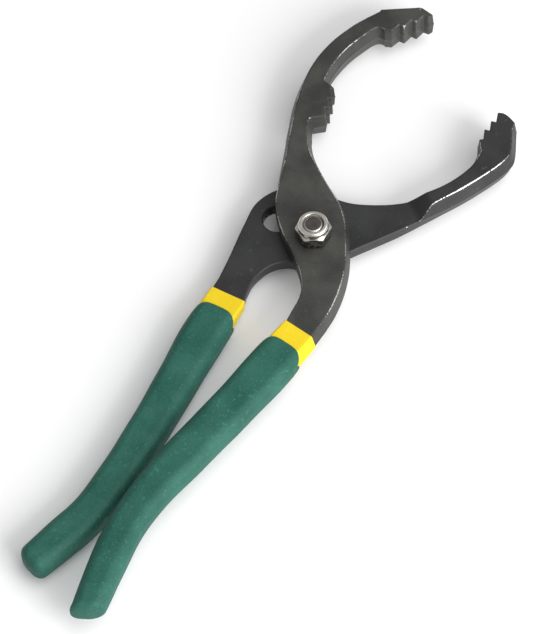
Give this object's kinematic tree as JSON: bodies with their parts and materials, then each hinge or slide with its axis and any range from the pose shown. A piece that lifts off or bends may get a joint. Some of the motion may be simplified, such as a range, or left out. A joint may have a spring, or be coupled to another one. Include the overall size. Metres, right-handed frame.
{
  "type": "oil filter wrench",
  "caption": "Slip-joint oil filter wrench: two crossed forged arms with curved toothed jaws, a sliding pivot bolt with a lock nut, and dipped vinyl grips.",
  "frame": {"origin": "pivot bolt axis at the flat underside of the bolt head, the lowest face of the tool", "axes": "+Y along the tool from the grips to the jaws, +Z along the bolt from head to nut, +X to the rear arm's jaw"},
  "size_m": [0.0959, 0.3085, 0.0257],
  "materials": {
    "black_steel": "black oxide on forged steel, satin, worn bright on edges",
    "bolt_steel": "dark, lightly oiled",
    "plated_steel": "bright zinc plating",
    "nylon": "natural",
    "yellow_vinyl": "smooth dipped vinyl",
    "green_vinyl": "matt, finely grained dipped vinyl"
  },
  "bodies": {
    "rear": {"rear_arm": "black_steel", "rear_grip_underlayer": "yellow_vinyl", "rear_grip": "green_vinyl"},
    "slider": {"wear_washer": "plated_steel"},
    "front": {"front_arm": "black_steel", "pivot_bolt": "bolt_steel", "lock_nut": "plated_steel", "nut_insert": "nylon", "front_grip_underlayer": "yellow_vinyl", "front_grip": "green_vinyl"}
  },
  "joints": [
    {"name": "slot_slip", "type": "hinge", "parent": "rear", "child": "slider", "pos_m": [-0.0284, -0.1218, 0.0114], "axis": [0, 0, 1], "range_deg": [0, 8.76]},
    {"name": "jaw_pivot", "type": "hinge", "parent": "slider", "child": "front", "pos_m": [0, 0, 0.0114], "axis": [0, 0, 1], "range_deg": [0, 50]}
  ]
}
